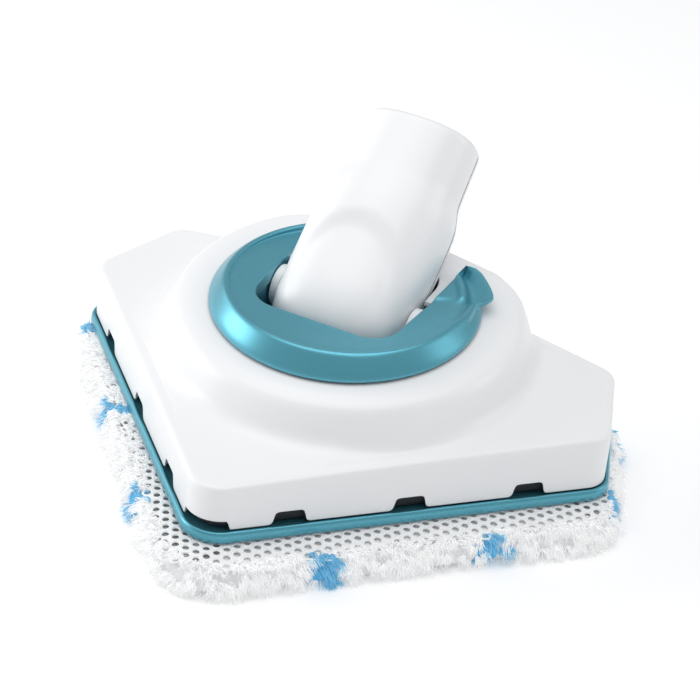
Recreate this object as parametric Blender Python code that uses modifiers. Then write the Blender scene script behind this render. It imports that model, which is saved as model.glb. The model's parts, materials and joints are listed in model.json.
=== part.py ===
"""Floor head of a steam mop: a swivelling, tilting neck on a triangular head that lies on a washable pad.

Metres, +Z up. The origin is on the floor, straight below the centre of the swivel ring. The
head's pointed tip is towards -Y, and +Y is the side of the person who mops.
"""

from math import copysign, cos, pi, radians, sin, sqrt, tan

import bmesh
import bpy
from mathutils import Matrix, Vector

MM = 0.001
GAP = 0.3 * MM

# Plan of the head: the outward normal of each right-hand edge, its angle from +X and its
# distance from the origin, measured at the trim's outer edge. The left side is a mirror image.
HEAD_EDGES = ((-45.0, 104.4 * MM), (19.9, 141.5 * MM), (80.1, 79.5 * MM))
HEAD_ROUNDS = (19 * MM, 16 * MM, 14 * MM, 60 * MM)
HEAD_SPANS = (8, 3, 5)
PAD_REACH = (19 * MM, 6.5 * MM, 11.5 * MM)
PAD_ROUNDS = (34 * MM, 26 * MM, 24 * MM, 60 * MM)
ARC_STEPS = 3

# Heights of the layers above the floor.
PILE_TOP = 14.4 * MM
MESH_TOP = 16.2 * MM
TRIM_BOTTOM = 16.5 * MM
TRIM_TOP = 22.5 * MM
SOLE_TOP = 18.7 * MM
CHASSIS_BOTTOM = SOLE_TOP + GAP
CHASSIS_FLOOR = 22.0 * MM
CHASSIS_RIM = 34.0 * MM
COVER_BOTTOM = TRIM_TOP + GAP
TRIM_WIDTH = 8.2 * MM
CHASSIS_INSET = 6.2 * MM
CHASSIS_WALL = 2.2 * MM

# Hook tape under the sole plate: centre, turn and length of each strip.
HOOK_WIDTH, HOOK_THICKNESS = 18 * MM, 1.1 * MM
HOOK_STRIPS = {
    "front": ((0, -92 * MM), 0, 50 * MM), "left": ((-62 * MM, -18 * MM), 38, 66 * MM),
    "right": ((62 * MM, -18 * MM), -38, 66 * MM), "rear": ((0, 42 * MM), 0, 150 * MM),
}

# The cover's top edge rises to the back and falls a little to each side, and its wall is this thick.
CREASE_HEIGHT = 53.6 * MM
CREASE_SLOPE = tan(radians(3.3))
CREASE_FALL = 3 * MM / (140 * MM) ** 2
COVER_WALL = 2.6 * MM
DOME_CENTRE = Vector((0, 5 * MM))
DOME_R = 88 * MM
NOTCH_WIDTH, NOTCH_HEIGHT = 17 * MM, 7 * MM
NOTCH_REACH = 8 * MM
NOTCH_X = (31 * MM, 75 * MM, 119 * MM)
TIP_NOTCH_WIDTH, TIP_NOTCH_HEIGHT = 34 * MM, 4.5 * MM

# The turret turns on an axis that leans back, through this point.
TURRET_HEIGHT = 78 * MM
TURRET_TILT = radians(5)
RING_COLUMNS = 60
RING_BASE = 1.2 * MM
RING_DROP = 0.38
TAB_START, TAB_END, TAB_REACH = radians(71), radians(38), 4.2 * MM
SLOT_HALF = 40 * MM
SLOT_FRONT = -34 * MM
SLOT_ROUND = 13 * MM
LIP_R = 60 * MM
HUB_R = 59.2 * MM
HUB_INNER_R = 54.8 * MM
TURRET_SCREW_R = 57 * MM

# The neck tilts on a pivot below the ring. These are in the turret's own frame.
PIVOT = Vector((0, 3.5 * MM, -5.3 * MM))
NECK_LEAN = radians(53)
CRADLE_R = 34.5 * MM
CRADLE_WALL = 2.5 * MM
CRADLE_HALF = 40.4 * MM
PLATE_TOP = 3.6 * MM
PLATE_THICKNESS = 2.3 * MM
NECK_WALL = 2.5 * MM
NECK_TOP = 99.5 * MM
NECK_HALF = 34.5 * MM
NECK_FRONT, NECK_REAR, NECK_DROP = 33 * MM, 29 * MM, 31 * MM
BOSS_R, JOURNAL_R, SHAFT_R, TRUNNION_BORE_R = 11 * MM, 5 * MM, 6.4 * MM, 1.8 * MM
TUBE_R, TUBE_BORE_WALL = 4 * MM, 1.2 * MM

SCREW_R, SCREW_HEAD_R, SCREW_HEAD = 1.5 * MM, 3.1 * MM, 1.6 * MM
BOSS_SCREW_R = 4.4 * MM
COVER_SCREWS = [(x * MM, y * MM) for x, y in ((0, -112), (96, -22), (-96, -22), (98, 44), (-98, 44))]
STEAM_HOLES = [(x * MM, y * MM) for x, y in ((0, -84), (46, -38), (-46, -38), (78, 12), (-78, 12))]
STEAM_HOLE_R, STEAM_BORE_R = 1.6 * MM, 3.4 * MM
UNION_DEPTH = 52.2 * MM
MANIFOLD_HALF, MANIFOLD_FRONT, MANIFOLD_BACK = 30 * MM, -100 * MM, -58 * MM
MANIFOLD_HEIGHT, GASKET_HEIGHT = 5 * MM, 1.2 * MM

# Longer than any part, for cutters that run past one.
BIG = 200 * MM

for old in list(bpy.data.objects):
    bpy.data.objects.remove(old, do_unlink=True)
PARTS = bpy.data.collections.new("steam_mop_head")
CUTTERS = bpy.data.collections.new("cutters")
for group in (PARTS, CUTTERS):
    bpy.context.scene.collection.children.link(group)


# ---------------------------------------------------------------- materials
def finish(name, colour, roughness, metallic=0.0):
    made = bpy.data.materials.new(name)
    made.use_nodes = True
    shader = made.node_tree.nodes["Principled BSDF"]
    shader.inputs["Base Color"].default_value = (*colour, 1)
    shader.inputs["Roughness"].default_value = roughness
    shader.inputs["Metallic"].default_value = metallic
    return made


WHITE = finish("gloss_white", (0.86, 0.87, 0.88), 0.18)
TEAL = finish("satin_teal", (0.09, 0.32, 0.39), 0.3, 0.55)
BLACK = finish("black_plastic", (0.02, 0.02, 0.022), 0.55)
GREY = finish("grey_plastic", (0.16, 0.17, 0.18), 0.5)
ACETAL = finish("acetal", (0.78, 0.77, 0.72), 0.4)
SILICONE = finish("silicone", (0.62, 0.20, 0.12), 0.6)
STEEL = finish("steel", (0.55, 0.56, 0.58), 0.3, 1.0)
BRASS = finish("brass", (0.72, 0.55, 0.24), 0.3, 1.0)
HOOK = finish("hook_tape", (0.75, 0.76, 0.78), 0.9)
MESH = finish("pad_mesh", (0.85, 0.86, 0.87), 0.9)
PILE = finish("pad_pile", (0.90, 0.91, 0.92), 1.0)


# ---------------------------------------------------------------- shape helpers
def add(name, data, material=None, parent=None):
    """A named object in the parts' collection, or a hidden cutter where there is no material."""
    made = bpy.data.objects.new(name, data)
    if material:
        data.materials.append(material)
        PARTS.objects.link(made)
    else:
        CUTTERS.objects.link(made)
        made.hide_render = True
        made.display_type = "WIRE"
    made.parent = parent
    return made


def loft(name, rings, material=None, parent=None, loop=False):
    """Quads between rings of equal count. The ends are capped, or joined where it is a loop."""
    shape = bmesh.new()
    rows = [[shape.verts.new(point) for point in ring] for ring in rings]
    pairs = list(zip(rows, rows[1:])) + ([(rows[-1], rows[0])] if loop else [])
    for low, high in pairs:
        for i in range(len(low)):
            j = (i + 1) % len(low)
            shape.faces.new((low[i], low[j], high[j], high[i]))
    if not loop:
        shape.faces.new(reversed(rows[0]))
        shape.faces.new(rows[-1])
    bmesh.ops.recalc_face_normals(shape, faces=shape.faces)
    data = bpy.data.meshes.new(name)
    shape.to_mesh(data)
    shape.free()
    data.shade_smooth()
    data.set_sharp_from_angle(angle=radians(35))
    return add(name, data, material, parent)


def surface(name, rings, material, parent=None):
    """An open surface between rings of equal count."""
    made = loft(name, rings, material, parent)
    shape = bmesh.new()
    shape.from_mesh(made.data)
    caps = [face for face in shape.faces if len(face.verts) > 4]
    bmesh.ops.delete(shape, geom=caps, context="FACES_ONLY")
    shape.to_mesh(made.data)
    shape.free()
    return made


def box(name, low, high, material=None, parent=None):
    shape = bmesh.new()
    bmesh.ops.create_cube(shape, size=1)
    low, high = Vector(low), Vector(high)
    size = Matrix.Diagonal((*(high - low), 1))
    bmesh.ops.transform(shape, matrix=Matrix.Translation((low + high) / 2) @ size, verts=shape.verts)
    data = bpy.data.meshes.new(name)
    shape.to_mesh(data)
    shape.free()
    return add(name, data, material, parent)


def rod(name, radius, start, end, material=None, parent=None, sides=16):
    """A cylinder between two points."""
    start, end = Vector(start), Vector(end)
    along = end - start
    place = Matrix.Translation((start + end) / 2) @ along.to_track_quat("Z", "Y").to_matrix().to_4x4()
    shape = bmesh.new()
    bmesh.ops.create_cone(shape, cap_ends=True, segments=sides, radius1=radius, radius2=radius,
                          depth=along.length, matrix=place)
    data = bpy.data.meshes.new(name)
    shape.to_mesh(data)
    shape.free()
    return add(name, data, material, parent)


def joined(name, pieces):
    """One cutter made of several loose ones."""
    shape = bmesh.new()
    for piece in pieces:
        shape.from_mesh(piece.data)
        bpy.data.objects.remove(piece)
    data = bpy.data.meshes.new(name)
    shape.to_mesh(data)
    shape.free()
    return add(name, data)


def turned(name, profile, material=None, parent=None, closed=True, sides=24):
    """A profile of (radius, height) points, run down its outer side, turned about local Z."""
    shape = bmesh.new()
    points = [shape.verts.new((radius, 0, height)) for radius, height in profile]
    for first, second in zip(points, points[1:] + points[:1] if closed else points[1:]):
        shape.edges.new((first, second))
    data = bpy.data.meshes.new(name)
    shape.to_mesh(data)
    shape.free()
    made = add(name, data, material, parent)
    screw = made.modifiers.new("turn", "SCREW")
    screw.steps = screw.render_steps = sides
    screw.use_merge_vertices = True
    screw.merge_threshold = 0.00001
    screw.use_smooth_shade = False
    return made


def cut(target, cutter, operation="DIFFERENCE"):
    step = target.modifiers.new(cutter.name, "BOOLEAN")
    step.operation = operation
    step.object = cutter
    step.solver = "EXACT"


def pipe(name, route, radius, wall, material, parent=None, sides_step=2, points=14):
    """A hollow tube with the given outer radius along a smooth route."""
    data = bpy.data.curves.new(name, "CURVE")
    data.dimensions = "3D"
    data.bevel_depth = radius
    data.bevel_resolution = sides_step
    data.use_fill_caps = False
    line = data.splines.new("POLY")
    smooth = smooth_route([Vector(point) for point in route], points)
    line.points.add(len(smooth) - 1)
    for point, place in zip(line.points, smooth):
        point.co = (*place, 1)
    made = add(name, data, material, parent)
    solid = made.modifiers.new("wall", "SOLIDIFY")
    solid.thickness = wall
    solid.offset = -1
    return made


def smooth_route(route, points):
    """Points spread along the Catmull-Rom curve through a route's own points."""
    ends = [2 * route[0] - route[1]] + route + [2 * route[-1] - route[-2]]
    spans = len(route) - 1
    found = []
    for k in range(points):
        place = k * spans / (points - 1)
        span = min(int(place), spans - 1)
        t = place - span
        a, b, c, d = ends[span:span + 4]
        found.append(0.5 * (2 * b + (c - a) * t + (2 * a - 5 * b + 4 * c - d) * t * t
                            + (3 * b - a - 3 * c + d) * t * t * t))
    return found


# ---------------------------------------------------------------- plan outlines
def mirrored_edges(edges, reach):
    right = [(radians(angle), distance + more) for (angle, distance), more in zip(edges, reach)]
    return right + [(pi - angle, distance) for angle, distance in reversed(right)]


def crossing(first, second, inset):
    """Where two edges meet once both have moved in."""
    (a, p), (b, q) = first, second
    p, q = p - inset, q - inset
    span = sin(b - a)
    return Vector(((p * sin(b) - q * sin(a)) / span, (q * cos(a) - p * cos(b)) / span))


def outline(inset, height, reach=(0, 0, 0), rounds=HEAD_ROUNDS, steps=HEAD_SPANS):
    """The head's plan, moved in by inset, as a ring of points at a height given by (x, y)."""
    edges = mirrored_edges(HEAD_EDGES, reach)
    radii = [rounds[0], rounds[1], rounds[2], rounds[3], rounds[2], rounds[1]]
    spans = [steps[0], steps[1], steps[2], steps[2], steps[1], steps[0]]
    arcs = []
    for i, radius in enumerate(radii):
        before, after = edges[i - 1], edges[i]
        radius = max(radius - inset, 1.5 * MM)
        centre = crossing(before, after, inset + radius)
        turn = (after[0] - before[0]) % (2 * pi)
        angles = [before[0] + turn * k / ARC_STEPS for k in range(ARC_STEPS + 1)]
        arcs.append([centre + radius * Vector((cos(angle), sin(angle))) for angle in angles])
    ring = []
    for arc, following, span in zip(arcs, arcs[1:] + arcs[:1], spans):
        ring += arc
        ring += [arc[-1].lerp(following[0], k / span) for k in range(1, span)]
    return [Vector((x, y, height(x, y))) for x, y in ring]


def level(z):
    return lambda x, y: z


def crease(drop):
    return lambda x, y: CREASE_HEIGHT + CREASE_SLOPE * y - CREASE_FALL * x * x - drop


def turret_plane(rise):
    return lambda x, y: TURRET_HEIGHT + tan(TURRET_TILT) * y + rise


def cover_ring(inset, rear_inset, height, radius=BIG):
    """The plan moved in by inset, and no further than radius from the dome's centre.

    Where the rear wall cuts the dome off, the plan moves in by rear_inset instead.
    """
    ring = []
    for side, rear in zip(outline(inset, level(0)), outline(rear_inset, level(0))):
        reach = (rear.xy - DOME_CENTRE).length
        share = min(1, max(0, (DOME_R - reach) / (12 * MM) + 0.5)) if rear.y > 0 else 0
        arm = side.xy.lerp(rear.xy, share) - DOME_CENTRE
        x, y = DOME_CENTRE + arm * min(1, radius / arm.length)
        ring.append(Vector((x, y, height(x, y))))
    return ring


def lip_ring(radius, rise):
    """A circle about the turret's axis, spaced as the plan's points are."""
    ring = []
    for point in outline(0, level(0)):
        arm = point.xy.normalized()
        ring.append(Vector((arm.x * radius, arm.y * radius, turret_plane(rise)(0, arm.y * radius))))
    return ring


# ---------------------------------------------------------------- frames of the moving groups
def axis_empty(name, location, turn, parent=None):
    made = bpy.data.objects.new(name, None)
    made.location = location
    made.rotation_euler = (turn, 0, 0)
    made.parent = parent
    PARTS.objects.link(made)
    return made


turret = axis_empty("turret_axis", (0, 0, TURRET_HEIGHT), TURRET_TILT)
neck = axis_empty("neck_pivot", PIVOT, -NECK_LEAN, turret)


# ---------------------------------------------------------------- pad
def pad_outline(inset, z):
    return outline(inset, level(z), PAD_REACH, PAD_ROUNDS)


loft("pad_pile", [pad_outline(2.5 * MM, 0), pad_outline(0, 4 * MM), pad_outline(0, 10.5 * MM),
                  pad_outline(3 * MM, PILE_TOP)], PILE)
loft("pad_mesh", [pad_outline(5 * MM, PILE_TOP + GAP), pad_outline(4.6 * MM, MESH_TOP)], MESH)


# ---------------------------------------------------------------- screws
def screw_profile(length, grow=0.0):
    """Head at the bottom, shank above it."""
    return [(0, SCREW_HEAD + length + grow), (SCREW_R + grow, SCREW_HEAD + length + grow),
            (SCREW_R + grow, SCREW_HEAD + grow), (SCREW_HEAD_R + grow, SCREW_HEAD + grow),
            (SCREW_HEAD_R + grow, -grow), (0, -grow)]


def screw(name, place, length, parent=None):
    """The screw and the hole it sits in."""
    made = turned(name, screw_profile(length), STEEL, parent, closed=False, sides=10)
    hole = turned(name + "_hole", screw_profile(length, GAP), None, parent, closed=False, sides=10)
    made.location = hole.location = place
    return hole


# ---------------------------------------------------------------- head: trim, sole plate, chassis
def base_trim():
    """A bull-nosed strip round the head's foot."""
    section = ((0.9 * MM, TRIM_BOTTOM), (0, TRIM_BOTTOM + 1.4 * MM), (0, TRIM_TOP - 1.9 * MM),
               (1.1 * MM, TRIM_TOP), (TRIM_WIDTH, TRIM_TOP), (TRIM_WIDTH, TRIM_BOTTOM))
    loft("base_trim", [outline(inset, level(z)) for inset, z in section], TEAL, loop=True)


def hook_strips():
    """Strips of hook tape, each in its own recess in the sole plate."""
    recesses = []
    for name, ((x, y), turn, length) in HOOK_STRIPS.items():
        half = Vector((length / 2, HOOK_WIDTH / 2, 0))
        room = half + Vector((GAP, GAP, 0))
        floor, roof = Vector((0, 0, TRIM_BOTTOM)), Vector((0, 0, TRIM_BOTTOM + HOOK_THICKNESS))
        strip = box("hook_strip_" + name, floor - half, roof + half, HOOK)
        recess = box("recess", -room, roof + room + Vector((0, 0, GAP)))
        place = Matrix.Translation((x, y, 0)) @ Matrix.Rotation(radians(turn), 4, "Z")
        strip.data.transform(place)
        recess.data.transform(place)
        recesses.append(recess)
    return joined("strip_recesses", recesses)


def steam_bores(radius, low, high):
    bores = [rod("bore", radius, (x, y, low), (x, y, high), sides=10) for x, y in STEAM_HOLES]
    return joined("steam_bores", bores)


def sole_plate(recesses):
    inset = TRIM_WIDTH + GAP
    plate = loft("sole_plate", [outline(inset, level(TRIM_BOTTOM)), outline(inset, level(SOLE_TOP))], GREY)
    cut(plate, recesses)
    cut(plate, steam_bores(STEAM_HOLE_R, 0, SOLE_TOP + MM))


def chassis(holes):
    """A tray whose rim stands behind the cover's openings, on a floor let into the trim."""
    foot, ledge = TRIM_WIDTH + GAP, COVER_BOTTOM + 0.1 * MM
    inside = CHASSIS_INSET + CHASSIS_WALL
    rings = ((foot, CHASSIS_BOTTOM), (foot, ledge), (CHASSIS_INSET, ledge), (CHASSIS_INSET, CHASSIS_RIM),
             (inside, CHASSIS_RIM), (inside, CHASSIS_FLOOR))
    tray = loft("chassis", [outline(inset, level(z), steps=(1, 1, 1)) for inset, z in rings], BLACK)
    for hole in holes:
        cut(tray, hole)
    cut(tray, steam_bores(STEAM_BORE_R, 0, CHASSIS_FLOOR + MM))


# ---------------------------------------------------------------- head: cover
def notch_cutters():
    """Openings in the cover's lower edge, three along each front side and one round the tip."""
    angle, distance = radians(HEAD_EDGES[0][0]), HEAD_EDGES[0][1]
    low, high = COVER_BOTTOM - MM, COVER_BOTTOM + NOTCH_HEIGHT
    inner = CHASSIS_INSET - GAP
    cutters = []
    for side in (1, -1):
        for x in NOTCH_X:
            y = (distance - x * cos(angle)) / sin(angle)
            rings = []
            for z, lean in ((low, 0), (high - 2 * MM, 1.5 * MM), (high, 3.5 * MM)):
                half = NOTCH_WIDTH / 2 - lean
                corners = ((-half, -NOTCH_REACH), (half, -NOTCH_REACH), (half, inner), (-half, inner))
                rings.append([Vector((a, b, z)) for a, b in corners])
            notch = loft("notch", rings)
            turn = Matrix.Rotation(side * (pi / 2 + angle), 4, "Z")
            notch.data.transform(Matrix.Translation((side * x, y, 0)) @ turn)
            cutters.append(notch)
    tip = distance / sin(angle) + HEAD_ROUNDS[0] * (sqrt(2) - 1)
    half = TIP_NOTCH_WIDTH / 2
    cutters.append(box("notch", (-half, tip - 5 * MM, COVER_BOTTOM - MM),
                       (half, tip + 14 * MM, COVER_BOTTOM + TIP_NOTCH_HEIGHT)))
    return joined("cover_notches", cutters)


def upper_cover(holes):
    """One moulding: side wall, nearly flat top, and a dome whose back is cut off by the rear wall."""
    rings = [
        cover_ring(2.4 * MM, 2.4 * MM, level(COVER_BOTTOM)),
        cover_ring(2.7 * MM, 2.7 * MM, crease(4.5 * MM)),
        cover_ring(3.7 * MM, 3.0 * MM, crease(1.2 * MM)),
        cover_ring(6.8 * MM, 3.3 * MM, crease(0)),
        cover_ring(9.0 * MM, 3.6 * MM, crease(-1.5 * MM), DOME_R + 13 * MM),
        cover_ring(9.4 * MM, 3.8 * MM, crease(-4 * MM), DOME_R + 6 * MM),
        cover_ring(9.8 * MM, 4.1 * MM, turret_plane(-11 * MM), DOME_R + 2.5 * MM),
        cover_ring(10.4 * MM, 4.7 * MM, turret_plane(-5 * MM), DOME_R - 1 * MM),
        cover_ring(13 * MM, 6.2 * MM, turret_plane(-1.6 * MM), DOME_R - 8 * MM),
        lip_ring(69.5 * MM, -0.5 * MM),
        lip_ring(LIP_R, -0.5 * MM),
    ]
    cover = surface("upper_cover", rings, WHITE)
    wall = cover.modifiers.new("wall", "SOLIDIFY")
    wall.thickness = COVER_WALL
    wall.offset = -1
    wall.use_even_offset = True
    cut(cover, notch_cutters())
    bosses = []
    for x, y in COVER_SCREWS:
        top = crease(COVER_WALL / 2)(x, y)
        bosses.append(rod("boss", BOSS_SCREW_R, (x, y, CHASSIS_FLOOR + GAP), (x, y, top), sides=12))
    cut(cover, joined("cover_bosses", bosses), "UNION")
    for hole in holes:
        cut(cover, hole)


def cover_screws():
    holes = []
    for number, (x, y) in enumerate(COVER_SCREWS, 1):
        holes.append(screw(f"cover_screw_{number}", (x, y, CHASSIS_BOTTOM + GAP), 14 * MM))
    return holes


base_trim()
sole_plate(hook_strips())
head_holes = cover_screws()
chassis(head_holes)
upper_cover(head_holes)


# ---------------------------------------------------------------- head: steam path
def steam_parts():
    """Manifold over the chassis floor, its gasket, and the union on the turret's axis that feeds it."""
    low = CHASSIS_FLOOR + GAP
    seat = low + GASKET_HEIGHT + GAP
    front, back, half = MANIFOLD_FRONT, MANIFOLD_BACK, MANIFOLD_HALF
    box("manifold_gasket", (-half, front, low), (half, back, low + GASKET_HEIGHT), SILICONE)
    block = box("steam_manifold", (-half, front, seat), (half, back, seat + MANIFOLD_HEIGHT), GREY)
    edge = block.modifiers.new("edges", "BEVEL")
    edge.width = 1.5 * MM
    edge.segments = 2
    profile = [(r * MM, h * MM) for r, h in
               ((3.4, 2.4), (7.4, 2.4), (7.4, -2.9), (0.8, -2.9), (0.8, -1.2), (3.4, -1.2))]
    union = turned("swivel_union", profile, BRASS, sides=20)
    union.location = (0, UNION_DEPTH * sin(TURRET_TILT), TURRET_HEIGHT - UNION_DEPTH * cos(TURRET_TILT))
    union.rotation_euler = (TURRET_TILT, 0, 0)
    hose = ((8.4, 4.4, 25.4), (16, 3, 25.2), (24, -10, 25.1), (26, -28, 25.1), (21, -44, 25.3),
            (18.5, -57, 25.6))
    pipe("steam_hose", [Vector(point) * MM for point in hose], 2.4 * MM, 0.9 * MM, SILICONE)


# ---------------------------------------------------------------- turret
def ring_scale(angle):
    """How tall the ring stands at an angle from the rear, against its front."""
    return 1 - RING_DROP * (1 + cos(angle)) / 2


def ring_flare(angle):
    """The hooked tab at the right arm's rear end: a step outwards that fades towards the rear."""
    if angle > TAB_START:
        return 0
    return max(0, TAB_REACH * (angle - TAB_END) / (TAB_START - TAB_END))


def ring_outline(radius, height, flare=0.0, rises=True):
    """A ring of the turret's moulding, in its own frame, from the rear round to the rear."""
    ring = []
    for k in range(RING_COLUMNS):
        angle = 2 * pi * k / RING_COLUMNS
        reach = radius + flare * ring_flare(angle)
        rise = RING_BASE + (height - RING_BASE) * ring_scale(angle) if rises else height
        ring.append(Vector((reach * sin(angle), reach * cos(angle), rise)))
    return ring


def slot_shape(half, front, back, round_r, height, steps=4):
    """A slot's outline: two rounded front corners, open at the back."""
    ring = [Vector((half, back, height)), Vector((-half, back, height))]
    for centre_x, start in ((-half + round_r, pi), (half - round_r, 1.5 * pi)):
        for k in range(steps + 1):
            angle = start + k * pi / 2 / steps
            x, y = centre_x + round_r * cos(angle), front + round_r * (1 + sin(angle))
            ring.append(Vector((x, y, height)))
    return ring


def turret_ring():
    """The section's points are radius, height and share of the tab, from the inside under and round."""
    section = ((54, 3.9, 0), (60, 3.9, 0), (63, 0.7, 0), (67.3, 0.7, 0.8), (68, 1.4, 1), (67.3, 5.0, 1),
               (65, 9.2, 1), (61.5, 11.8, 0.8), (59, 11.4, 0.5), (57, 8.9, 0.2), (54, 8.2, 0))
    rings = [ring_outline(r * MM, h * MM, flare, k > 3) for k, (r, h, flare) in enumerate(section)]
    ring = loft("turret_ring", rings, TEAL, turret)
    sides = [slot_shape(SLOT_HALF, SLOT_FRONT, 90 * MM, SLOT_ROUND, z) for z in (-9 * MM, 30 * MM)]
    slot = loft("ring_slot", sides, parent=turret)
    cut(ring, slot)
    for hole in TURRET_HOLES:
        cut(ring, hole)


def cradle_wall(radius, half, top, rear):
    """A trough about the pivot: vertical in front, round below, and open above rear."""
    steps = 10
    points = [(PIVOT.y - radius, top)]
    for k in range(steps + 1):
        angle = pi + k * pi / steps
        points.append((PIVOT.y + radius * cos(angle), PIVOT.z + radius * sin(angle)))
    points.append((PIVOT.y + radius, rear))
    points.append((PIVOT.y, top))
    return [[Vector((x, y, z)) for y, z in points] for x in (-half, half)]


def turret_cradle():
    """A trough that holds the neck's bearings, hung from a round plate under the ring."""
    top, under = PLATE_TOP, PLATE_TOP - PLATE_THICKNESS
    outer = CRADLE_R + CRADLE_WALL
    half = CRADLE_HALF + 2.4 * MM
    cradle = loft("turret_cradle", cradle_wall(outer, half, top, under), TEAL, turret)
    plate = turned("cradle_plate", [(0, top), (HUB_R, top), (HUB_R, under), (0, under)], None, turret,
                   closed=False, sides=40)
    cut(cradle, plate, "UNION")
    cut(cradle, loft("cradle_hollow", cradle_wall(CRADLE_R, CRADLE_HALF, 40 * MM, 39 * MM), parent=turret))
    rear = box("cradle_rear", (-CRADLE_HALF, PIVOT.y, PIVOT.z - 12 * MM), (CRADLE_HALF, BIG, 45 * MM),
               parent=turret)
    cut(cradle, rear)
    cut(cradle, box("cradle_corners", (-BIG, 33 * MM, -40 * MM), (BIG, BIG, under), parent=turret))
    reach = Vector((60 * MM, 0, 0))
    ends = rod("cradle_bearings", 7.3 * MM, PIVOT - reach, PIVOT + reach, parent=turret)
    cut(cradle, ends)
    for hole in TURRET_HOLES:
        cut(cradle, hole)


def retaining_ring():
    """Hub inside the dome's opening, with a flange under its lip."""
    top = PLATE_TOP - PLATE_THICKNESS - GAP
    profile = [(HUB_R, top), (HUB_R, -3.8 * MM), (65.5 * MM, -3.8 * MM), (65.5 * MM, -6.2 * MM),
               (HUB_INNER_R, -6.2 * MM), (HUB_INNER_R, top)]
    ring = turned("retaining_ring", profile, ACETAL, turret, sides=40)
    window = box("retaining_window", (-CRADLE_HALF, 20 * MM, -3.7 * MM), (CRADLE_HALF, BIG, 30 * MM),
                 parent=turret)
    cut(ring, window)
    for hole in TURRET_HOLES:
        cut(ring, hole)


def glide_ring():
    profile = [(r * MM, h * MM) for r, h in ((67, 0.4), (67, -0.2), (61, -0.2), (61, 0.4))]
    turned("glide_ring", profile, BLACK, turret, sides=40)


def pivot_bushes():
    profile = [(r * MM, h * MM) for r, h in
               ((7, 5.6), (7, 0.9), (5.3, 0.9), (5.3, 5.6))]
    for name, side in (("left", -1), ("right", 1)):
        bush = turned("pivot_bush_" + name, profile, ACETAL, turret, sides=16)
        bush.location = PIVOT + Vector((side * CRADLE_HALF, 0, 0)) - Vector((side * MM, 0, 0))
        bush.rotation_euler = (0, side * pi / 2, 0)


def turret_pipe():
    """Carries the steam from the hollow left trunnion down to the union on the turret's axis."""
    route = ((-47.2, 3.5, -5.3), (-49.2, 3.5, -5.6), (-50.8, 3.4, -9), (-50.8, 3, -18), (-50.4, 2.8, -30),
             (-48.3, 2.5, -41), (-41.5, 2, -45.6), (-28, 1.2, -45.5), (-11, 0.4, -45.3), (-2.4, 0, -46.2),
             (0, 0, -50))
    route = [Vector(point) * MM for point in route]
    pipe("turret_steam_pipe", route, 2.5 * MM, 0.9 * MM, STEEL, turret, points=22)


TURRET_HOLES = []
for number, angle in enumerate((60, 120, 240, 300), 1):
    across, along = sin(radians(angle)), cos(radians(angle))
    place = (TURRET_SCREW_R * across, TURRET_SCREW_R * along, -6.0 * MM - SCREW_HEAD)
    TURRET_HOLES.append(screw(f"turret_screw_{number}", place, 10 * MM, turret))

steam_parts()
turret_ring()
turret_cradle()
retaining_ring()
glide_ring()
pivot_bushes()
turret_pipe()


# ---------------------------------------------------------------- neck
def oval(half, front, rear, height, count=36, square=2.7):
    """A squared oval across the neck, whose front and rear depths differ."""
    ring = []
    for k in range(count):
        angle = 2 * pi * k / count
        across, along = cos(angle), sin(angle)
        depth = rear if along > 0 else front
        x = copysign(half * abs(across) ** (2 / square), across)
        y = copysign(depth * abs(along) ** (2 / square), along)
        ring.append(Vector((x, y, height)))
    return ring


# Height up the neck, half width, depth to the front and depth to the rear.
NECK_LEVELS = ((0, 34.5, 33, 29), (22, 34.9, 33, 26.5), (45, 35.3, 31.5, 25), (57, 34.4, 29.7, 24.5),
               (66, 31.6, 27.2, 23.7), (73, 30.9, 26, 23), (94, 30.4, 24.8, 22.4), (99.5, 29.4, 23.7, 21.4))


def neck_rings(wall, top):
    """The neck's skin moved in by wall: a round end about the pivot, then the levels above it."""
    rings = []
    for turn in (78, 62, 44, 22):
        drop, reach = sin(radians(turn)), cos(radians(turn))
        half = (NECK_HALF - wall) * (1 - 0.3 * drop ** 4)
        front, rear = (NECK_FRONT - wall) * reach, (NECK_REAR - wall) * reach
        rings.append(oval(half, front, rear, -(NECK_DROP - wall) * drop))
    for height, half, front, rear in NECK_LEVELS:
        height = top if height * MM == NECK_TOP else height * MM
        rings.append(oval(half * MM - wall, front * MM - wall, rear * MM - wall, height))
    return rings


def neck_shells():
    hollow = loft("neck_hollow", neck_rings(NECK_WALL, NECK_TOP + 10 * MM), parent=neck)
    shaft = rod("neck_shaft_hole", SHAFT_R + GAP, (-60 * MM, 0, 0), (60 * MM, 0, 0), parent=neck)
    for name, low, high in (("front", -BIG, -GAP / 2), ("rear", GAP / 2, BIG)):
        half = loft("neck_" + name + "_shell", neck_rings(0, NECK_TOP), WHITE, neck)
        side = box("neck_" + name + "_half", (-BIG, low, -BIG), (BIG, high, BIG), parent=neck)
        cut(half, side, "INTERSECT")
        cut(half, hollow)
        cut(half, shaft)


def socket_liner():
    """Cup that the mop's body plugs into, with a bulkhead for the steam nipple."""
    wall = NECK_WALL + GAP

    def at(height, inset):
        share = (height - 62) / (99.5 - 62)
        half, front, rear = 30.9 - 1.7 * share, 25.6 - 2.0 * share, 23.4 - 2.1 * share
        less = wall + inset
        return oval(half * MM - less, front * MM - less, rear * MM - less, height * MM, 32)

    outside = 0.9 * MM
    inside = outside + 1.6 * MM
    rings = [at(64, outside), at(97.5, outside), at(97.5, inside), at(67, inside)]
    liner = loft("socket_liner", rings, GREY, neck)
    cut(liner, rod("nipple_hole", TUBE_R + GAP, (0, 0, 50 * MM), (0, 0, 72 * MM), parent=neck))


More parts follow.
